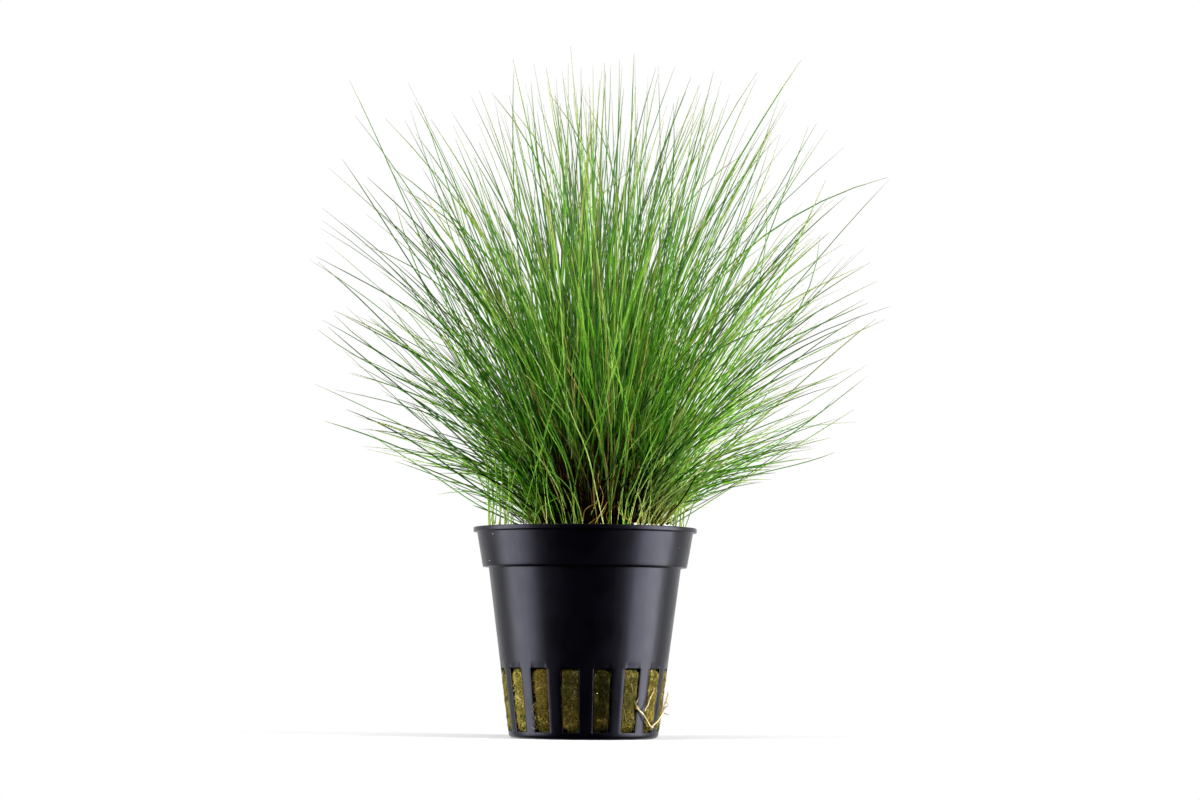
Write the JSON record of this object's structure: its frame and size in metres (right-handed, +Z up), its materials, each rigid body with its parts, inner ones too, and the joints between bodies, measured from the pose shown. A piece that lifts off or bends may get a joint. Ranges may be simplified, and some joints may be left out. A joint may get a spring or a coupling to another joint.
{
  "type": "potted dwarf hairgrass",
  "caption": "Dwarf hairgrass for a planted aquarium: thread-like green leaves fanning from a mineral wool plug in a small black plastic net pot, with a pale runner.",
  "frame": {"origin": "centre of the pot's flat underside", "axes": "+Z up along the pot's axis, +X to the right as seen from the pictured side, which is -Y"},
  "size_m": [0.1423, 0.1398, 0.1679],
  "materials": {
    "pot_plastic": "satin",
    "rockwool": "matte",
    "leaf_green": "satin",
    "shoot_green": "satin",
    "runner_straw": "satin"
  },
  "bodies": {
    "root": {"pot": "pot_plastic", "rockwool_plug": "rockwool", "tuft_01": "leaf_green", "tuft_02": "leaf_green", "tuft_03": "leaf_green", "tuft_04": "leaf_green", "tuft_05": "leaf_green", "tuft_06": "leaf_green", "tuft_07": "leaf_green", "tuft_08": "leaf_green", "tuft_09": "leaf_green", "tuft_10": "leaf_green", "tuft_11": "leaf_green", "tuft_12": "leaf_green", "tuft_13": "leaf_green", "tuft_14": "leaf_green", "tuft_15": "leaf_green", "tuft_16": "leaf_green", "tuft_17": "leaf_green", "tuft_18": "leaf_green", "tuft_19": "leaf_green", "tuft_20": "leaf_green", "tuft_21": "leaf_green", "tuft_22": "leaf_green", "tuft_23": "leaf_green", "tuft_24": "leaf_green", "tuft_25": "leaf_green", "tuft_26": "leaf_green", "tuft_27": "leaf_green", "tuft_28": "leaf_green", "tuft_29": "leaf_green", "tuft_30": "leaf_green", "tuft_31": "leaf_green", "tuft_32": "leaf_green", "tuft_33": "leaf_green", "tuft_34": "leaf_green", "tuft_35": "leaf_green", "tuft_36": "leaf_green", "tuft_37": "leaf_green", "rim_shoot_01": "shoot_green", "rim_shoot_02": "shoot_green", "rim_shoot_03": "shoot_green", "rim_shoot_04": "shoot_green", "rim_shoot_05": "shoot_green", "rim_shoot_06": "shoot_green", "rim_shoot_07": "shoot_green", "rim_shoot_08": "shoot_green", "runner_stem": "runner_straw", "runner_side_root": "runner_straw"}
  },
  "joints": []
}
